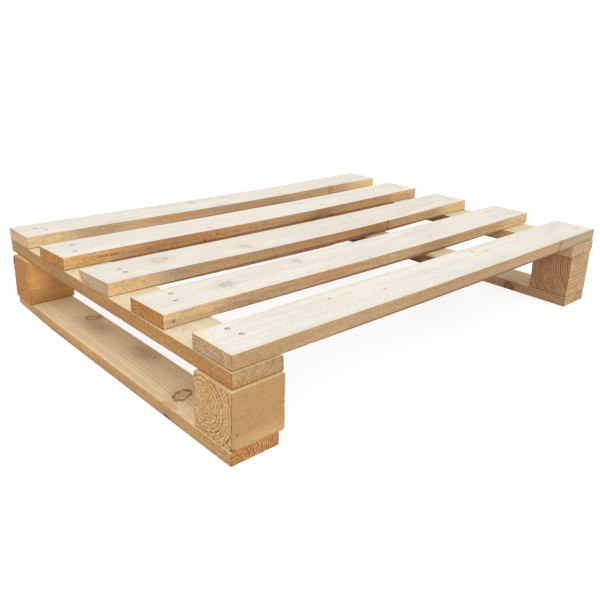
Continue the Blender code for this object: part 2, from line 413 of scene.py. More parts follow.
def relief(tree, patterns, end, torn, ringed, bark):
    """The surface's height. Late wood stands lower than early wood, and bark stands out."""
    height = tree.math("ADD", patterns["mottle"], tree.product(patterns["fibre"], 0.7))
    height = tree.product(height, tree.less(end))
    height = tree.math("MULTIPLY_ADD", tree.product(patterns["pits"], torn), 4.0, height)
    height = tree.math("MULTIPLY_ADD", ringed, -0.9, height)
    return tree.math("MULTIPLY_ADD", bark, 1.5, height)


def spruce_group():
    """Solid sawn spruce in the piece's own space, with the fibres along X."""
    takes = {
        "Vector": ["Position", "Grain", "Facing", "Half", "Pith", "Tilt"],
        "Float": ["Heart", "Rim", "Haze", "Bark", "Ring Width", "End Roughness", "Seed", *SHARES],
        "Color": ["Tint", "Side Colour", "Top Colour", "End Colour"],
    }
    gives = {"Color": ["Colour"], "Float": ["Roughness", "Height"]}
    group, tree, given, give = new_group("spruce", takes, gives)
    position = tree.vector("ADD", given["Position"], tree.join(given["Seed"], 0.0, given["Seed"]))
    patterns = {name: tree.noise(position, *values) for name, values in PATTERNS.items()}

    # Which way the surface faces, and how far it is from the piece's edges, in the piece's own space.
    facing = tree.split(given["Facing"])
    end = tree.between(tree.math("ABSOLUTE", facing[0]), 0.55, 0.85)
    top = tree.between(facing[2], 0.5, 0.9)
    edge = tree.vector("SUBTRACT", given["Half"], tree.vector("ABSOLUTE", given["Position"]))
    edge = tree.split(edge)
    ringed = tree.product(late_wood(tree, given, position, end), ring_share(tree, given, top, end))
    torn = tree.product(end, tree.math("MULTIPLY_ADD", given["End Roughness"], 0.8, 0.2))
    colour = tree.tinted(ringed, sawn_colour(tree, given, edge, top, end), LATE_WOOD)
    colour = mottled(tree, given, colour, position, patterns, top, torn)
    colour = marked(tree, given, colour, top)
    bark = tree.math("MULTIPLY_ADD", given["Bark"], 2.0, -1.1)
    bark = tree.between(tree.math("MULTIPLY_ADD", patterns["mottle"], 1.2, bark), 0.3, 0.6)
    colour = tree.mix(bark, colour, BARK_COLOUR)
    # Painted shade along the lower arris and the corners.
    colour = tree.tinted(dirt_share(tree, given, edge, patterns["cloud"], top, end), colour, DIRT)

    roughness = tree.math("MULTIPLY_ADD", patterns["fibre"], 0.25, 0.55)
    roughness = tree.math("MULTIPLY_ADD", end, 0.15, roughness)
    height = relief(tree, patterns, end, torn, ringed, bark)
    give(Colour=colour, Roughness=roughness, Height=height)
    return group


# ----------------------------------------
# How each piece of timber looks. Places are in millimetres from the piece's middle, along the world's
# axes. Colours are linear.

# Top colours, paler and greyer than the sides: partly the wood's own paler top, partly painted
# highlight where bright light from above washes the tops out.
DECK_TOP = (0.738, 0.694, 0.614)
CROSS_TOP = (0.725, 0.62, 0.435)
BLOCK_TOP = (0.70, 0.51, 0.28)
# Painted shadow cast by the deck boards on the bottom board's top.
SMOKE = (0.74, 0.68, 0.63)

UP = (0.0, 0.0, 1.0)
TOWARDS_Y = (0.0, 1.0, 0.0)
TOWARDS_X = (1.0, 0.0, 0.0)

# What a piece has unless its own entry says otherwise. Some entries are tuples:
# wane: the arris's side in Y and Z, its depth in Y and Z, where it is full, where it is gone, and bark;
# plan: a place along the piece, and how far its two long sides draw in there;
# belly: how deep a board's lower half hangs, and from where to where.
PLAIN = {
    "tilt": (0.02, 0.01),
    "ring": 3.6,
    "side_rings": 0.3,
    "top_rings": 0.14,
    "end_rings": 0.5,
    "end_rough": 0.5,
    "speckle": 1.0,
    # How strongly painted bounce light brightens the sides near the ends.
    "warm_ends": 0.0,
    "top_tint": 0.0,
    "knots": (),
    "stains": (),
    "wane": (),
    "plan": (),
    "skew": 0.0,
    "belly": None,
    "nails": None,
    "sags": False,
    "ragged": 0.5,
}

# What the pieces of one kind share. A piece's name starts with its kind.
FAMILIES = {
    "deck": {"slot": "deck_wood", "grain": "x", "top": DECK_TOP, "nails": "deck", "sags": True},
    "cross": {"slot": "cross_wood", "grain": "y", "top": CROSS_TOP},
    "block": {"slot": "block_wood", "grain": "x", "top": BLOCK_TOP},
    "bottom": {"slot": "bottom_wood", "grain": "y"},
}


def knot(place, axis, radius, heart=0.35, rim=0.45, haze=0.30, push=0.55, reach=200.0):
    strengths = {"Heart Strength": heart, "Rim Strength": rim, "Haze Strength": haze}
    return place, axis, {"Radius": radius * MM, "Reach": reach * MM, "Push": push, **strengths}


def pin_knot(place, radius=1.5):
    return knot(place, UP, radius, heart=1.0, rim=0.9, haze=0.25, push=0.3, reach=6.0)


def stain(place, size, colour):
    return place, size, (*colour, 1.0)


def edge_stain(x, y, reach, colour):
    return stain((x, y, 0.0), (reach, 14.0, 30.0), colour)


def timber(node, pith, **looks):
    family = FAMILIES[node.split("_")[0]]
    return {**PLAIN, **family, "node": node, "pith": pith, **looks}


TIMBER = [
    timber(
        "deck_board_front", (28.0, -75.0),
        side=(0.430, 0.280, 0.144), end=(0.440, 0.286, 0.146), end_rough=0.35,
        knots=[
            knot((281.0, -36.5, 0.0), (0.25, 0.0, 1.0), 2.8, heart=0.6, rim=0.5, haze=0.5),
            pin_knot((-208.0, 16.0, 9.5)),
            pin_knot((-125.0, -4.0, 9.5)),
            pin_knot((-30.0, 0.0, 9.5), 1.1),
            pin_knot((-20.0, -3.0, 9.5), 0.9),
            pin_knot((-9.0, -22.0, 9.5), 1.1),
        ],
        stains=[
            stain((345.0, -36.5, 0.0), (80.0, 16.0, 30.0), (0.98, 1.10, 1.30)),
            edge_stain(-40.0, -36.5, 120.0, (0.97, 0.91, 0.86)),
            edge_stain(-365.0, -36.5, 60.0, (0.96, 0.92, 0.82)),
        ],
    ),
    timber(
        "deck_board_front_inner", (25.0, -32.0), tilt=(0.012, -0.02), ring=3.4,
        side=(0.480, 0.314, 0.168), end=(0.50, 0.255, 0.070), end_rings=2.2, end_rough=0.15,
        warm_ends=0.85,
        knots=[
            knot((-283.3, 1.0, 9.6), (0.5, 0.2, 1.0), 7.5, heart=0.5, rim=0.3, haze=0.3),
            knot((-141.5, 20.0, 9.6), (0.3, 0.1, 1.0), 5.5, heart=0.45, rim=0.25, haze=0.3),
            pin_knot((-39.5, -32.0, 9.5)),
            knot((-388.0, -37.0, -2.0), TOWARDS_Y, 2.0, heart=0.8, rim=0.7, haze=0.6, reach=9.0),
            knot((-327.0, -37.0, -2.0), TOWARDS_Y, 1.2, heart=0.7, rim=0.6, haze=0.4, reach=9.0),
        ],
        stains=[
            edge_stain(-120.0, -37.0, 110.0, (0.93, 0.88, 0.90)),
            edge_stain(310.0, -37.0, 150.0, (1.16, 1.16, 1.11)),
        ],
        skew=1.7,
    ),
    timber(
        "deck_board_middle", (-20.0, -60.0), tilt=(0.03, 0.01), ring=4.2,
        side=(0.477, 0.296, 0.149), top=(0.728, 0.678, 0.594), end=(0.440, 0.305, 0.182),
        end_rings=0.25, end_rough=0.25, warm_ends=1.0, speckle=0.75,
        knots=[
            knot((157.5, -37.0, 0.0), (0.1, 0.0, 1.0), 1.5, heart=1.0, rim=1.0, haze=0.5),
            knot((-292.5, 8.0, 9.6), (0.9, 0.3, 1.0), 9.0, heart=0.35, rim=0.25, haze=0.25),
            knot((-148.5, -12.0, 9.6), (0.6, -0.2, 1.0), 7.0, heart=0.35, rim=0.25, haze=0.25),
        ],
        stains=[
            edge_stain(-300.0, -37.5, 50.0, (0.90, 1.02, 1.16)),
            edge_stain(30.0, -37.5, 200.0, (0.86, 0.76, 0.70)),
        ],
        wane=[(1, -1, 17.0, 18.5, -400.0, -150.0, 0.0)],
        skew=4.0, belly=(1.1, -330.0, 20.0),
    ),
    timber(
        "deck_board_rear_inner", (45.0, 50.0), tilt=(-0.02, 0.015), ring=3.8,
        side=(0.475, 0.291, 0.141), end=(0.430, 0.200, 0.042), end_rings=0.8,
        end_rough=0.8, warm_ends=0.75,
        knots=[
            knot((-338.0, -37.5, 0.8), TOWARDS_X, 1.3, 1.0, 1.0, 0.2, push=0.2, reach=9.0),
            knot((-320.0, -37.5, 0.2), TOWARDS_X, 1.1, 1.0, 1.0, 0.2, push=0.2, reach=8.0),
            knot((-154.0, -37.0, -8.0), TOWARDS_Y, 2.2, 1.0, 1.0, 0.4, reach=8.0),
            knot((-129.0, -37.0, -1.5), TOWARDS_Y, 1.7, 1.0, 1.0, 0.4, reach=8.0),
            knot((-135.0, -24.0, 9.6), (0.5, 0.3, 1.0), 3.5),
        ],
        stains=[
            edge_stain(-190.0, -37.5, 150.0, (0.90, 0.74, 0.60)),
            edge_stain(60.0, -37.5, 150.0, (0.87, 0.88, 0.90)),
            edge_stain(-360.0, -37.5, 60.0, (0.96, 0.84, 0.66)),
        ],
        skew=3.3, belly=(2.8, -330.0, 320.0),
    ),
    timber(
        "deck_board_rear", (-30.0, -90.0), tilt=(0.015, 0.02), ring=3.5,
        side=(0.530, 0.354, 0.198), end=(0.530, 0.365, 0.198), end_rings=0.3,
        end_rough=0.3, warm_ends=0.8, speckle=0.8,
        knots=[
            knot((-60.0, 18.0, 9.6), (0.5, 0.1, 1.0), 4.5),
            knot((262.0, -35.0, 0.0), (0.1, 0.0, 1.0), 1.6, heart=0.6, rim=0.8, haze=0.5),
            knot((270.0, -35.0, 0.0), (0.1, 0.0, 1.0), 1.2, heart=0.5, rim=0.7, haze=0.5),
        ],
        stains=[
            edge_stain(-240.0, -35.5, 60.0, (1.10, 1.14, 1.16)),
            edge_stain(-20.0, -35.5, 190.0, (0.88, 0.86, 0.84)),
        ],
    ),
    timber(
        "cross_board_left", (45.0, -42.0), ring=3.2,
        side=(0.362, 0.184, 0.057), end=(0.470, 0.298, 0.140), end_rough=0.35,
        speckle=1.15,
        knots=[
            knot((10.0, 40.0, 0.0), (0.2, 0.3, 1.0), 6.0),
            pin_knot((-14.0, -179.0, 9.8), 1.0),
            pin_knot((-17.0, -182.0, 9.8), 0.8),
            pin_knot((-26.0, -209.0, 9.8), 0.9),
        ],
        wane=[(1, 1, 3.0, 5.0, -303.0, 0.0, 0.0)],
    ),
    timber(
        "cross_board_middle", (-40.0, 55.0), tilt=(-0.02, 0.01),
        side=(0.40, 0.245, 0.120), top=(0.62, 0.51, 0.35), end=(0.48, 0.29, 0.135),
        top_tint=1.0,
        knots=[knot((-8.0, -120.0, 0.0), (0.1, 0.4, 1.0), 6.0)],
        # Painted shadow on the top between the deck boards, which shade it, and painted shade down the
        # -X side.
        stains=[
            stain((0.0, 71.5, 10.0), (200.0, 80.0, 12.0), (0.42, 0.30, 0.20)),
            stain((0.0, -62.0, 10.0), (200.0, 70.0, 12.0), (0.48, 0.36, 0.26)),
            stain((-34.0, 0.0, 0.0), (18.0, 700.0, 60.0), (0.30, 0.22, 0.18)),
        ],
        sags=True,
    ),
    timber(
        "cross_board_right", (20.0, -70.0), tilt=(0.01, 0.02),
        side=(0.42, 0.26, 0.130), end=(0.490, 0.336, 0.198), end_rings=0.3,
        knots=[knot((14.0, 90.0, 0.0), (0.2, 0.3, 1.0), 6.0)],
        # Painted shade down the -X side, under the deck.
        stains=[stain((-38.0, 40.0, 0.0), (18.0, 300.0, 60.0), (0.52, 0.42, 0.36))],
        wane=[(1, -1, 5.0, 12.0, -303.0, -90.0, 1.0)],
    ),
    timber(
        "block_front_left", (20.3, 4.7), tilt=(0.10, 0.04), ring=4.4,
        side=(0.430, 0.246, 0.097), top=(0.68, 0.49, 0.27), end=(0.560, 0.370, 0.165),
        side_rings=0.10, end_rings=1.15, end_rough=0.95, speckle=0.45, ragged=1.6,
        knots=[
            knot((-30.0, -35.0, -16.5), TOWARDS_Y, 1.1, 1.0, 1.0, 0.5, reach=8.0),
            knot((-37.0, -31.5, -30.0), TOWARDS_X, 1.5, 1.0, 1.0, 0.4, reach=5.0),
            knot((-37.0, -27.0, -28.0), TOWARDS_X, 1.1, 1.0, 1.0, 0.4, reach=5.0),
            knot((-37.0, -34.0, -34.0), TOWARDS_X, 1.3, 1.0, 1.0, 0.4, reach=5.0),
        ],
        stains=[stain((4.0, -35.0, -33.0), (60.0, 10.0, 17.0), (1.22, 1.28, 1.32))],
    ),
    timber(
        "block_front_right", (-85.0, 30.0), tilt=(0.06, 0.10), ring=3.9,
        side=(0.460, 0.295, 0.152), end=(0.380, 0.212, 0.098),
        side_rings=0.6, end_rings=1.5, end_rough=0.4, ragged=1.0,
    ),
    timber(
        "block_rear_left", (-15.0, 62.0), tilt=(0.05, -0.05), ring=3.8,
        side=(0.470, 0.243, 0.083), end=(0.430, 0.196, 0.050),
        end_rings=0.4, end_rough=1.0, speckle=0.6, ragged=1.8,
        # Painted light: the upper left of the -Y face is brightened, beside the shade under the cross
        # board.
        stains=[stain((-24.0, -30.0, 10.0), (34.0, 12.0, 40.0), (1.50, 1.46, 1.36))],
        wane=[(1, 1, 7.0, 16.0, -40.0, 30.0, 1.0)],
    ),
    timber(
        "block_rear_right", (30.0, -55.0), tilt=(-0.05, 0.05), ring=4.4,
        side=(0.57, 0.35, 0.160), end=(0.53, 0.31, 0.140),
        end_rings=0.7, end_rough=0.9, ragged=1.0,
    ),
    timber(
        "bottom_board_left", (-26.0, -5.0), tilt=(-0.012, 0.004), ring=3.5,
        # The pale top is partly painted light, made brighter against the shade of the deck above it.
        side=(0.420, 0.240, 0.089), top=(0.890, 0.705, 0.445), end=(0.485, 0.245, 0.078),
        top_rings=0.46, end_rings=1.2, end_rough=0.35, top_tint=1.0,
        knots=[
            knot((19.2, 127.5, 8.5), (0.9, -0.45, 1.0), 7.5, heart=0.6, rim=0.6, haze=0.8),
            knot((-6.6, -163.0, 8.5), (1.0, 0.45, 1.0), 9.0, heart=0.6, rim=0.85, haze=0.6),
            pin_knot((22.5, -51.0, 8.5), 1.6),
        ],
        stains=[
            # Painted shadows of the deck boards on the top.
            stain((8.5, 90.0, 8.5), (24.0, 44.0, 30.0), SMOKE),
            stain((17.0, -31.0, 8.5), (24.0, 44.0, 30.0), SMOKE),
            stain((0.0, 225.0, 8.5), (50.0, 40.0, 30.0), (0.88, 0.90, 0.88)),
        ],
        plan=[(-302.0, 0.0, 1.3), (0.0, 0.0, 0.0), (160.0, 0.0, 0.0), (225.0, 2.3, 0.0),
              (302.0, 5.3, 0.0)],
        nails="under_left",
    ),
    timber(
        "bottom_board_right", (-60.0, -60.0), tilt=(0.02, 0.015), ring=3.7,
        side=(0.320, 0.184, 0.088), top=(0.77, 0.60, 0.38), end=(0.490, 0.310, 0.158),
        top_rings=0.35, end_rings=0.6,
        knots=[knot((-33.0, -190.0, -3.5), TOWARDS_X, 8.0, 1.0, 1.0, 1.0, reach=14.0)],
        nails="under_right",
    ),
]

# How far each deck board's near and far edge have sunk between its nailed ends, in millimetres.
SAG = {
    "deck_board_front": (1.9, 0.3),
    "deck_board_front_inner": (2.9, 1.7),
    "deck_board_middle": (5.0, 2.4),
    "deck_board_rear_inner": (3.3, 2.3),
    "deck_board_rear": (3.5, 3.3),
}
SAG_LOWEST_X = 60.0 * MM
SAG_SUPPORT_X = 365.0 * MM


def sag_at(x, y, under=False):
    """How far the deck has sunk at each place, or the middle cross board under it."""
    stations = []
    for node, (near, far) in SAG.items():
        low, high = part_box(node)
        stations += [(low.y, near * MM), (high.y, (near if under else far) * MM)]
    places, depths = np.array(stations).T
    depth = np.interp(y, places, depths)
    span = np.where(x < SAG_LOWEST_X, SAG_SUPPORT_X + SAG_LOWEST_X, SAG_SUPPORT_X - SAG_LOWEST_X)
    share = np.clip(np.abs(x - SAG_LOWEST_X) / span, 0.0, 1.0)
    return depth * (1.0 - share**2) ** 1.5


# ----------------------------------------
# Timber meshes

SEED_STEP = 1.37
BARE_NAILS_LEFT_OF = -0.30
TIMBER_SHARP = 50.0

# The grid: its steps, and lines close together at the arrises, chips, wanes and nails.
LONG_STEP = 6.0 * MM
ACROSS_STEP = 2.6 * MM
BLOCK_STEP = 1.7 * MM
LEAST_GAP = 0.14 * MM
ARRIS_LINES = (0.0, 0.25, 0.6, 1.0, 1.7, 2.8)
CHIP_LINES = (-1.0, -0.5, 0.0, 0.5, 1.0)
WANE_LINES = (0.1, 0.22, 0.36, 0.5, 0.65, 0.8, 1.0, 1.2)
DENT_RINGS = (0.0, 1.1, 2.2, 2.9, 3.22, 3.4, 3.6, 4.6, 5.4, 6.4)

ARRIS = 0.45 * MM
CHIP_SPACING = 0.10
CHIP_LENGTHS = (2.0, 8.0)
CHIP_DEPTHS = (0.3, 1.3)
RAGGED_LENGTH = 4.0 * MM
RAGGED_DEPTH = 1.6 * MM
DENT_ROUND = 4.2 * MM
DENT_REACH = 6.4 * MM
DENT_FLOOR = 1.7 * MM
DISH_REACH = 5.6 * MM
DISH_SLOPE = 2.1 * MM
BARE_WALL = 3.45 * MM
COVERED_WALL = 3.25 * MM
BARE_DISH = 0.25 * MM
COVERED_DISH = 0.06 * MM
SKEWED_LENGTH = 60.0 * MM
BELLY_CLEAR = 3.0 * MM
BELLY_RAMP = 6.0 * MM


def lattice_value(x, y, z, seed):
    """A repeatable number from -1 to 1 at each whole point."""
    mixed = (x * 374761393 + y * 668265263 + z * 1442695041 + seed * 1274126177) & 0xFFFFFFFF
    mixed = ((mixed ^ (mixed >> 13)) * 1103515245) & 0xFFFFFFFF
    mixed = mixed ^ (mixed >> 16)
    return mixed / 2147483647.5 - 1.0


def smooth_noise(points, cell_size, seed):
    """Value noise from -1 to 1 with features as large as the cell, in millimetres."""
    points = points / (np.array(cell_size) * MM)
    cell = np.floor(points).astype(np.int64)
    part = points - cell
    part = part * part * (3.0 - 2.0 * part)
    total = np.zeros(len(points))
    for corner in np.ndindex(2, 2, 2):
        weight = np.prod(np.where(corner, part, 1.0 - part), axis=1)
        x, y, z = (cell + corner).T
        total += weight * lattice_value(x, y, z, seed)
    return total


def grid_lines(half, step, close):
    """Places of the grid's lines along one side: at the arrises, each close place and every step."""
    lines = []
    for share in ARRIS_LINES:
        inset = share * 1.5 * ARRIS
        lines += [half - inset, -half + inset]
    lines += [place for place in close if abs(place) < half - 4.4 * ARRIS]
    count = max(2, round(2 * half / step))
    for place in np.linspace(-half, half, count + 1)[1:-1]:
        if min(abs(place - other) for other in lines) > 0.35 * step:
            lines.append(place)
    kept = []
    for place in sorted(lines):
        if not kept or place - kept[-1] > LEAST_GAP:
            kept.append(place)
    kept[-1] = half
    return np.array(kept)


def box_surface(xs, ys, zs):
    """The points and quads of a box's skin, cut along these lines."""
    index = np.full((len(xs), len(ys), len(zs)), -1)
    skin = np.zeros(index.shape, bool)
    for axis in range(3):
        for side in (0, -1):
            np.moveaxis(skin, axis, 0)[side] = True
    index[skin] = np.arange(skin.sum())
    points = np.stack(np.meshgrid(xs, ys, zs, indexing="ij"), axis=-1)[skin]
    quads = []
    for axis in range(3):
        for side in (0, -1):
            sheet = np.take(index, side, axis=axis)
            quad = np.stack([sheet[:-1, :-1], sheet[1:, :-1], sheet[1:, 1:], sheet[:-1, 1:]], axis=-1)
            quad = quad.reshape(-1, 4)
            outward = (side == -1) != (axis == 1)
            quads.append(quad if outward else quad[:, ::-1])
    return points, np.concatenate(quads)


def chips_along(half, random):
    """Small bites out of the long arrises: (x, which arris, half length, depth)."""
    chips = []
    for side_y in (-1, 1):
        for side_z in (-1, 1):
            for _ in range(max(1, round(half[0] / CHIP_SPACING))):
                x = random.uniform(-0.97, 0.97) * half[0]
                length = random.uniform(*CHIP_LENGTHS) * MM
                depth = random.uniform(*CHIP_DEPTHS) * MM
                chips.append((x, side_y, side_z, length, depth))
    return chips


def arris_radius(points, half, chips, ragged, seed):
    """How far the arris nearest each point is worn back. The arrises round the ends are ragged."""
    worn = smooth_noise(points, (45.0, 12.0, 12.0), seed)
    radius = ARRIS * (0.85 + 0.5 * worn)
    for x, side_y, side_z, length, depth in chips:
        beside = (np.sign(points[:, 1]) == side_y) & (np.sign(points[:, 2]) == side_z)
        close = np.clip(1.0 - ((points[:, 0] - x) / length) ** 2, 0.0, 1.0)
        radius += beside * depth * close
    bites = np.clip(smooth_noise(points, (9.0, 4.0, 4.0), seed + 9) - 0.1, 0.0, 1.0)
    by_end = np.abs(points[:, 0]) > half[0] - RAGGED_LENGTH
    radius += by_end * ragged * bites * RAGGED_DEPTH
    return np.minimum(radius, 0.4 * half.min())


def cut_wane(points, half, wanes, seed):
    """Rounds one long arris as the outside of the log did, and says where its bark shows."""
    bark = np.zeros(len(points))
    for side_y, side_z, deep_y, deep_z, full, gone, shown in wanes:
        fade = np.clip((points[:, 0] - gone * MM) / ((full - gone) * MM), 0.0, 1.0)
        along = points * (1.0, 0.0, 0.0)
        fade = fade**0.8 * (1.0 + 0.22 * smooth_noise(along, (38.0, 38.0, 38.0), seed + 5))
        depth_y = np.maximum(fade * deep_y * MM, 1e-6)
        depth_z = np.maximum(fade * deep_z * MM, 1e-6)
        u = (side_y * points[:, 1] - (half[1] - depth_y)) / depth_y
        v = (side_z * points[:, 2] - (half[2] - depth_z)) / depth_z
        inside = (u > 0) & (v > 0)
        length = np.hypot(u, v)
        pull = np.where(inside, np.maximum(u, v) / np.maximum(length, 1e-9), 1.0)
        new_y = side_y * (half[1] - depth_y + u * pull * depth_y)
        new_z = side_z * (half[2] - depth_z + v * pull * depth_z)
        points[:, 1] = np.where(inside, new_y, points[:, 1])
        points[:, 2] = np.where(inside, new_z, points[:, 2])
        bark = np.maximum(bark, shown * inside * np.clip(4 * np.minimum(u, v), 0, 1) * (fade > 0.05))
    return bark


def dent_for_nails(points, normals, dents, side):
    """Sets each nail's head in a round hole with crushed fibres about it."""
    flat = normals[:, 2] * side > 0.7
    for x, y, bare in dents:
        wall = BARE_WALL if bare else COVERED_WALL
        dish = BARE_DISH if bare else COVERED_DISH
        away = points[:, :2] - (x, y)
        square = np.abs(away).max(axis=1)
        near = flat & (square < DENT_REACH) & (square > 1e-7)
        circle = np.hypot(away[:, 0], away[:, 1])
        round_off = np.clip((DENT_REACH - square) / (DENT_REACH - DENT_ROUND), 0.0, 1.0)
        factor = 1.0 + round_off * (square / np.maximum(circle, 1e-9) - 1.0)
        points[near, :2] = (x, y) + away[near] * factor[near, None]
        distance = np.hypot(points[:, 0] - x, points[:, 1] - y)
        depth = np.where(distance < wall, DENT_FLOOR, 0.0)
        dish = dish * np.clip((DISH_REACH - distance) / DISH_SLOPE, 0.0, 1.0) ** 2
        depth = np.where(flat & (square < DENT_REACH), np.maximum(depth, dish), 0.0)
        points[:, 2] -= side * depth


def saw_marks(points, normals, seed):
    """How far inside the piece's box the saw left each point. The ends are torn."""
    slow = 1 + smooth_noise(points, (90.0, 30.0, 30.0), seed + 1)
    ridges = 1 + smooth_noise(points, (5.0, 40.0, 40.0), seed + 2)
    torn = 1 + smooth_noise(points, (2.5, 2.2, 2.2), seed + 3)
    along_x, along_y, along_z = np.abs(normals).T
    depth = (along_z > 0.7) * 0.02 * slow + (along_y > 0.7) * (0.05 * slow + 0.02 * ridges)
    return MM * (depth + (along_x > 0.7) * (0.03 * slow + 0.04 * torn))


def taper(points, half, stations, turned):
    """Draws the piece's long sides in, as seen from above, at stations along it."""
    if not stations:
        return
    at, low, high = np.array(stations).T * MM
    low = np.interp(points[:, 0], at, low)
    high = np.interp(points[:, 0], at, high)
    if turned:
        low, high = high, low
    share = (points[:, 1] + half[1]) / (2 * half[1])
    points[:, 1] += (1.0 - share) * low - share * high


def skew_end(points, half, skew):
    """Draws the near end out towards one side, where the saw cut it out of square."""
    share = (points[:, 1] + half[1]) / (2 * half[1])
    by_end = np.clip(1.0 - (points[:, 0] + half[0]) / SKEWED_LENGTH, 0.0, 1.0)
    points[:, 0] -= skew * MM * share * by_end


def hang_belly(points, half, belly):
    """Deepens a board's lower half between the cross boards that it is nailed to."""
    if not belly:
        return
    depth, start, stop = belly
    free = np.clip((points[:, 0] - start * MM) / BELLY_RAMP, 0.0, 1.0)
    free *= np.clip((stop * MM - points[:, 0]) / BELLY_RAMP, 0.0, 1.0)
    low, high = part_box("cross_board_middle")
    off_middle = np.maximum(low.x - points[:, 0], points[:, 0] - high.x)
    free *= np.clip((off_middle - BELLY_CLEAR) / BELLY_RAMP, 0.0, 1.0)
    lower = np.clip(-points[:, 2] / half[2], 0.0, 1.0)
    points[:, 2] -= depth * MM * lower * free


def timber_grid(piece, half, chips):
    """Where the grid's lines cut the piece along its three axes."""
    rings = [sign * ring * MM for ring in DENT_RINGS for sign in (-1, 1)]
    close_x = [x + share * length for x, _, _, length, _ in chips for share in CHIP_LINES]
    close_x += [x + ring for x, _, _ in piece["dents"] for ring in rings]
    close_y = [y + ring for _, y, _ in piece["dents"] for ring in rings]
    close_z = []
    for side_y, side_z, deep_y, deep_z, _, _, _ in piece["wane_local"]:
        close_y += [side_y * (half[1] - share * deep_y * MM) for share in WANE_LINES]
        close_z += [side_z * (half[2] - share * deep_z * MM) for share in WANE_LINES]
    is_block = half[0] < 0.1
    steps = [BLOCK_STEP] * 3 if is_block else [LONG_STEP, ACROSS_STEP, ACROSS_STEP]
    return [grid_lines(*sides) for sides in zip(half, steps, (close_x, close_y, close_z))]


def timber_points(piece, half):
    """The points and quads of one piece of timber, and how much bark shows at each point."""
    seed = piece["seed"]
    chips = chips_along(half, np.random.default_rng(seed))
    points, quads = box_surface(*timber_grid(piece, half, chips))
    radius = arris_radius(points, half, chips, piece["ragged"], seed)
    core = np.clip(points, -(half - radius[:, None]), half - radius[:, None])
    out = points - core
    normals = out / np.linalg.norm(out, axis=1)[:, None]
    points = core + normals * radius[:, None]
    bark = cut_wane(points, half, piece["wane_local"], seed)
    points -= normals * saw_marks(points, normals, seed)[:, None]
    dent_for_nails(points, normals, piece["dents"], piece["dent_side"])
    points = np.clip(points, -half, half)
    taper(points, half, piece["plan"], piece["grain"] == "y")
    skew_end(points, half, piece["skew"])
    hang_belly(points, half, piece["belly"])
    return points, quads, bark


def smooth_mesh(name, points, faces, sharp_from):
    """A mesh that is shaded smooth, but for edges sharper than this angle in degrees."""
    mesh = bpy.data.meshes.new(name)
    mesh.from_pydata(points, [], faces)
    mesh.shade_smooth()
    mesh.set_sharp_from_angle(angle=math.radians(sharp_from))
    return mesh


def timber_mesh(piece, size, middle):
    """The piece's mesh. Deck boards and the middle cross board sink with the deck."""
    points, quads, bark = timber_points(piece, np.array(size) / 2)
    if piece["sags"]:
        turned = piece["grain"] == "y"
        world_x = middle.x + (-points[:, 1] if turned else points[:, 0])
        world_y = middle.y + (points[:, 0] if turned else points[:, 1])
        points[:, 2] -= sag_at(world_x, world_y, under=turned)
    mesh = smooth_mesh(piece["node"], points.tolist(), quads.tolist(), TIMBER_SHARP)
    mesh.attributes.new("bark", "FLOAT", "POINT").data.foreach_set("value", bark.astype(np.float32))
    return mesh


def to_grain(piece, offset):
    """A direction or offset along the world's axes, in the piece's own space."""
    x, y, z = offset
    return (x, y, z) if piece["grain"] == "x" else (y, -x, z)


def in_piece(piece, offset):
    return [value * MM for value in to_grain(piece, offset)]


def grown_through(tree, piece, position, knots):
    """The piece's knots, one after another: the bent grain and how much heart, rim and haze shows."""
    looks = {"Grain": position, "Heart": 0.0, "Rim": 0.0, "Haze": 0.0}
    for place, axis, sizes in piece["knots"]:
        given = {
            "Position": position,
            "Centre": in_piece(piece, place),
            "Axis": Vector(to_grain(piece, axis)).normalized(),
        }
        found = tree.use(knots, {**looks, **given, **sizes})
        looks = {name: found[name] for name in looks}
    return looks


def stained(tree, piece, position, stains):
    """The piece's soft patches, stains and painted light and shade, one after another, as one tint."""
    tint = WHITE
    for place, size, colour in piece["stains"]:
        given = {
            "Position": position,
            "Tint": tint,
            "Centre": in_piece(piece, place),
            "Size": [abs(value) for value in in_piece(piece, size)],
            "Colour": colour,
        }
        tint = tree.use(stains, given)["Tint"]
    return tint


def timber_material(piece, half, groups):
    material, tree, shader, coordinates = new_material(piece["node"] + "_wood")
    position = coordinates["Object"]
    across, up = piece["pith"]
    given = {
        "Position": position,
        "Bark": tree.add("ShaderNodeAttribute", {}, 2, attribute_name="bark"),
        "Tint": stained(tree, piece, position, groups["stain"]),
        "Facing": coordinates["Normal"],
        "Half": half,
        "Pith": (0.0, (across if piece["grain"] == "x" else -across) * MM, up * MM),
        "Tilt": (0.0, *piece["tilt"]),
        "Ring Width": piece["ring"] * MM,
        "End Roughness": piece["end_rough"],
        "Seed": piece["seed"] * SEED_STEP,
    }
    given.update({label: piece[label.lower().replace(" ", "_")] for label in SHARES})
    given.update({face.title() + " Colour": (*piece[face], 1.0) for face in ("side", "top", "end")})
    looks = grown_through(tree, piece, position, groups["knot"])
    wood = tree.use(groups["spruce"], {**given, **looks})
    bump = {"Strength": 0.7, "Distance": 0.4 * MM, "Height": wood["Height"]}
    finish = {
        "Base Color": wood["Colour"],
        "Roughness": wood["Roughness"],
        "Specular IOR Level": 0.3,
        "Normal": tree.add("ShaderNodeBump", bump),
    }
    tree.feed(shader, finish)
    return material


def is_bare(kind, x):
    """Whether a nail's head shows. Fibres have closed over the deck nails but at the left ends."""
    return kind != "deck" or x < BARE_NAILS_LEFT_OF


def nail_names():
    return [name for name in sorted(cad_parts) if name.startswith("nail")]


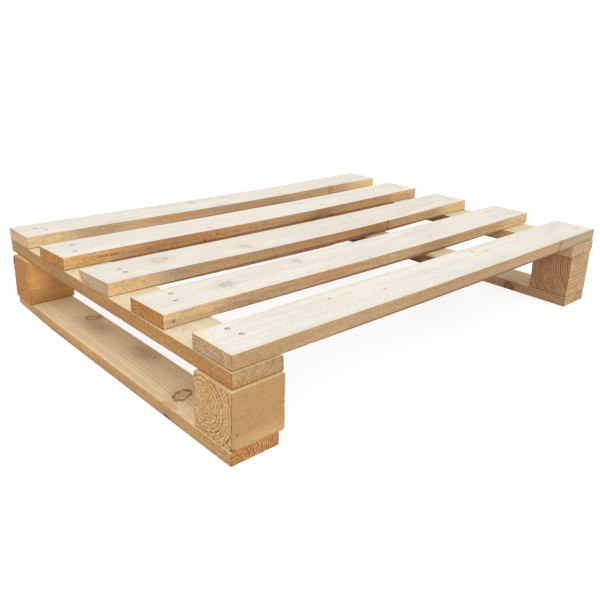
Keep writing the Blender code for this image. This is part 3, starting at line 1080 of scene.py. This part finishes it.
def nail_places(piece):
    """Where nail heads meet this piece's face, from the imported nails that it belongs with."""
    kind = piece["nails"]
    low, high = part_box(piece["node"])
    found = []
    for name in nail_names():
        under = name.startswith("nail_under")
        nail_low, nail_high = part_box(name)
        middle = (nail_low + nail_high) / 2
        inside = low.x < middle.x < high.x and low.y < middle.y < high.y
        if kind and inside and under == kind.startswith("under"):
            found.append(middle)
    return found


def make_timber():
    groups = {"knot": knot_group(), "stain": stain_group(), "spruce": spruce_group()}
    for number, piece in enumerate(TIMBER):
        piece["seed"] = 11 + 7 * number
        low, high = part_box(piece["node"])
        middle = (low + high) / 2
        size = high - low
        turned = piece["grain"] == "y"
        if turned:
            size = Vector((size.y, size.x, size.z))
        piece["dents"] = [
            (*to_grain(piece, place - middle)[:2], is_bare(piece["nails"], place.x))
            for place in nail_places(piece)
        ]
        piece["dent_side"] = -1 if str(piece["nails"]).startswith("under") else 1
        sign = -1 if turned else 1
        piece["wane_local"] = [(sign * side_y, *rest) for side_y, *rest in piece["wane"]]
        mesh = timber_mesh(piece, size, middle)
        mesh.materials.append(timber_material(piece, size / 2, groups))
        thing = add_to_scene(piece["node"] + "_sawn", mesh)
        thing.location = middle
        thing.rotation_euler.z = math.pi / 2 if turned else 0.0
        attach(thing, "root")
        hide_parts(piece["node"])


# ----------------------------------------
# Nails

WIRE = (0.20, 0.185, 0.175, 1.0)
BROWNED = (0.13, 0.065, 0.035, 1.0)
SAW_DUST = (0.70, 0.64, 0.54, 1.0)
HEAD = 3.2 * MM
SHANK = 1.4 * MM
SHANK_RINGS = 1.0 * MM
NAIL_SIDES = 20
NAIL_SHARP = 40.0


def head_material(name, wood_share):
    """Dull drawn wire, browned in places, with more or less torn wood and saw dust over its head."""
    material, tree, shader, coordinates = new_material(name)
    position = coordinates["Object"]
    patch = tree.noise(position, (700.0, 700.0, 700.0), 3.0, 0.6)
    wire = tree.mix(tree.between(patch, 0.48, 0.72), WIRE, BROWNED)
    torn = tree.noise(position, (170.0, 340.0, 300.0), 2.0, 0.6)
    by_head = tree.between(tree.split(position)[2], -0.0012, -0.0009)
    covered = tree.between(torn, 0.62 - 0.3 * wood_share, 0.70 - 0.3 * wood_share)
    covered = tree.product(covered, by_head)
    finish = {
        "Base Color": tree.mix(covered, wire, SAW_DUST),
        "Roughness": tree.math("MULTIPLY_ADD", covered, 0.4, 0.45),
        "Metallic": tree.math("MULTIPLY_ADD", covered, -0.5, 0.5),
        "Normal": tree.add("ShaderNodeBump", {"Strength": 0.5, "Distance": 0.2 * MM, "Height": torn}),
    }
    tree.feed(shader, finish)
    return material


def nail_profile(length):
    """Radius and height down a nail: domed head, ringed shank, cut point."""
    profile = [(0.35 * HEAD, 0.0), (0.8 * HEAD, -0.02 * MM), (0.96 * HEAD, -0.15 * MM)]
    profile += [(HEAD, -0.45 * MM), (0.97 * HEAD, -0.8 * MM)]
    profile += [(1.4 * SHANK, -1.15 * MM), (SHANK, -1.6 * MM)]
    depth = 3.0 * MM
    while depth < length - 6.0 * MM:
        profile += [(SHANK, -depth), (0.9 * SHANK, -depth - 0.5 * MM)]
        depth += SHANK_RINGS
    return profile + [(SHANK, -(length - 4.2 * MM)), (0.45 * SHANK, -(length - 1.2 * MM))]


def nail_mesh(name, length, steel):
    """A wire nail turned about Z with its head's top at zero."""
    profile = nail_profile(length)
    points = [(0.0, 0.0, 0.0)]
    for radius, height in profile:
        for side in range(NAIL_SIDES):
            angle = 2 * math.pi * side / NAIL_SIDES
            points.append((radius * math.cos(angle), radius * math.sin(angle), height))
    points.append((0.0, 0.0, -length))
    faces = []
    for side in range(NAIL_SIDES):
        after = (side + 1) % NAIL_SIDES
        faces.append((0, 1 + side, 1 + after))
        for ring in range(len(profile) - 1):
            upper = 1 + ring * NAIL_SIDES
            lower = upper + NAIL_SIDES
            faces.append((upper + side, lower + side, lower + after, upper + after))
        last = 1 + (len(profile) - 1) * NAIL_SIDES
        faces.append((len(points) - 1, last + after, last + side))
    mesh = smooth_mesh(name, points, faces, NAIL_SHARP)
    mesh.materials.append(steel)
    return mesh


def make_nails():
    """The nails, those near the middle sunk with their boards."""
    looks = {True: head_material("nail_bare", 0.55), False: head_material("nail_covered", 1.6)}
    meshes = {}
    for name in nail_names():
        low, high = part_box(name)
        middle = (low + high) / 2
        length = round((high.z - low.z) / MM)
        under = name.startswith("nail_under")
        bare = is_bare("under" if under else "deck", middle.x)
        if (length, bare) not in meshes:
            kind = "bare" if bare else "covered"
            meshes[length, bare] = nail_mesh(f"nail_{length}_{kind}", length * MM, looks[bare])
        sunk = 0.0 if under else float(sag_at(np.array(middle.x), middle.y))
        nail = add_to_scene(name + "_driven", meshes[length, bare])
        nail.location = (middle.x, middle.y, low.z if under else high.z - sunk)
        nail.rotation_euler.x = math.pi if under else 0.0
        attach(nail, "root")
        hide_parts(name)


place_camera()
light_studio()
lay_floor()
make_timber()
make_nails()

bpy.context.scene.view_settings.view_transform = "Standard"
bpy.context.view_layer.update()
